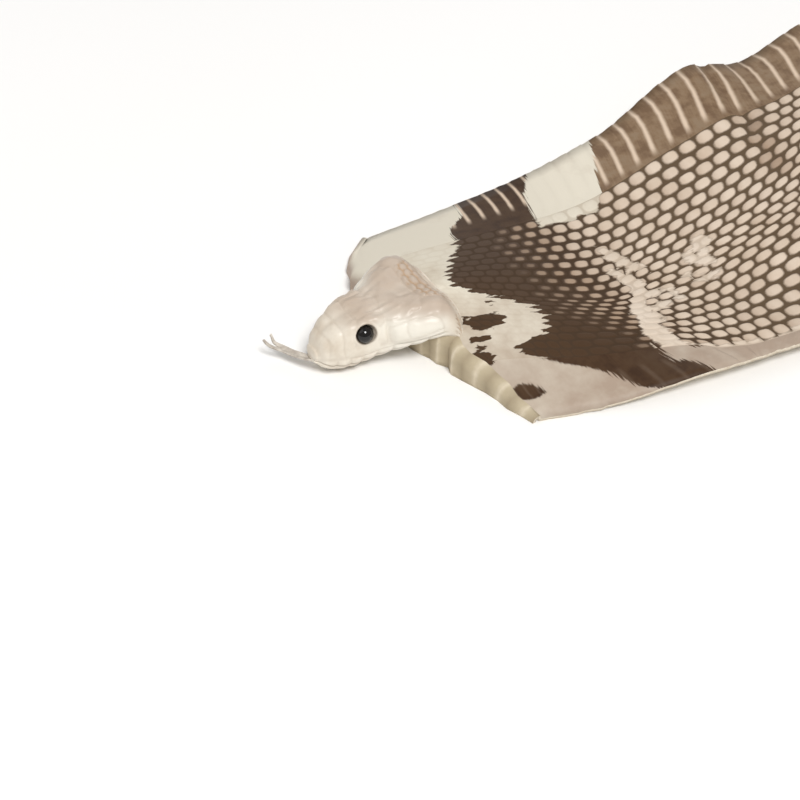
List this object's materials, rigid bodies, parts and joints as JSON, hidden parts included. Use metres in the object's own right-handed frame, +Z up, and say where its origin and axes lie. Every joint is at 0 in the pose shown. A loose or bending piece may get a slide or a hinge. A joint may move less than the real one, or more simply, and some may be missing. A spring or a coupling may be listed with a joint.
{
  "type": "tanned cobra skin with head",
  "caption": "Tanned cobra skin lying flat, scales up, slit along the belly, with spread hood, tapering body and tail, stuffed head, glass eyes and forked tongue.",
  "frame": {"origin": "on the underside of the hide, on its middle line, at the centre of the flat stretch of the body that rests on the table", "axes": "+X from head to tail along the longest extent, +Z up out of the scaled side, +Y towards the hide's right-hand edge"},
  "size_m": [1.1433, 0.2065, 0.0217],
  "materials": {
    "hide": "tanned snakeskin, satin scales with brown and cream bands, bleached head",
    "eye_glass": "polished opaque black glass",
    "tongue": "dried pale membrane, matt"
  },
  "bodies": {
    "root": {"skin": "hide", "left_eye": "eye_glass", "right_eye": "eye_glass", "tongue": "tongue"}
  },
  "joints": []
}
